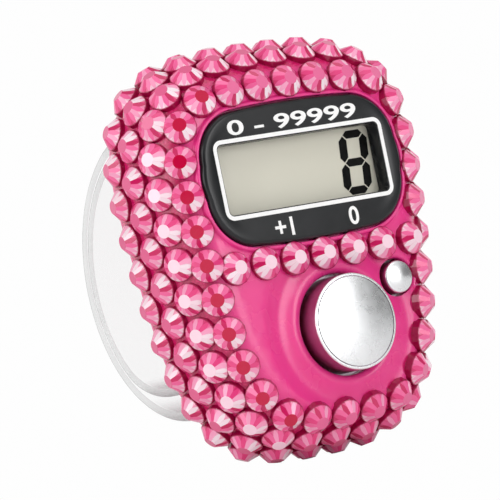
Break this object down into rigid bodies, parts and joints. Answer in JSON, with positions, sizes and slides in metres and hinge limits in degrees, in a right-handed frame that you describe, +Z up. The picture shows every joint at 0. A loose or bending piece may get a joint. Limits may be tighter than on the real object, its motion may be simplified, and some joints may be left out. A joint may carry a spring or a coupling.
{
  "type": "digital finger tally counter",
  "caption": "Finger-worn electronic counter: rounded body set with rhinestones, display window, count and reset push buttons, clear adjustable finger band.",
  "frame": {"origin": "on the supporting surface, under the middle of the object's bounding box", "axes": "+Z up along the height of the body, -Y is the way the display looks, +X to the right as seen by someone reading the display"},
  "size_m": [0.0354, 0.0342, 0.0439],
  "materials": {
    "pink_plastic": "glossy hot pink moulded plastic set with pink rhinestones",
    "black_plastic": "glossy black moulded plastic",
    "clear_lens": "clear polished acrylic window",
    "display_film": "greenish beige film",
    "display_glass": "thin display glass",
    "white_plastic": "matt off-white plastic",
    "elastomer": "soft layered elastomer",
    "board": "green coated board",
    "resin": "black moulding resin",
    "chrome_cap": "bright chromed plastic",
    "steel": "plated steel",
    "contact_brass": "plated spring brass",
    "clear_band": "clear soft plastic"
  },
  "bodies": {
    "counter_body": {"front_shell": "pink_plastic", "back_cover": "pink_plastic", "battery_door": "pink_plastic", "bezel": "black_plastic", "window_lens": "clear_lens", "front_polariser": "display_film", "display_front_glass": "display_glass", "display_rear_glass": "display_glass", "display_reflector": "display_film", "display_holder": "white_plastic", "connector_strip": "elastomer", "circuit_board": "board", "counter_chip": "resin", "capacitor": "resin", "count_switch_body": "black_plastic", "reset_switch_body": "black_plastic", "button_cell": "steel", "negative_contact": "contact_brass", "positive_contact": "contact_brass", "outer_strap": "clear_band", "inner_strap": "clear_band", "strap_stud": "clear_band", "cover_screw_1": "steel", "cover_screw_2": "steel", "cover_screw_3": "steel", "cover_screw_4": "steel", "board_screw_1": "steel", "board_screw_2": "steel", "door_screw": "steel"},
    "count_key": {"count_button": "chrome_cap", "count_switch_plunger": "white_plastic"},
    "reset_key": {"reset_button": "chrome_cap", "reset_switch_plunger": "white_plastic"}
  },
  "joints": [
    {"name": "count_press", "type": "slide", "parent": "counter_body", "child": "count_key", "axis": [0, 1, 0], "range_m": [0, 0.0006], "stiffness_N_per_m": 300, "springref_m": -0.002},
    {"name": "reset_press", "type": "slide", "parent": "counter_body", "child": "reset_key", "axis": [0, 1, 0], "range_m": [0, 0.0005], "stiffness_N_per_m": 300, "springref_m": -0.002}
  ]
}
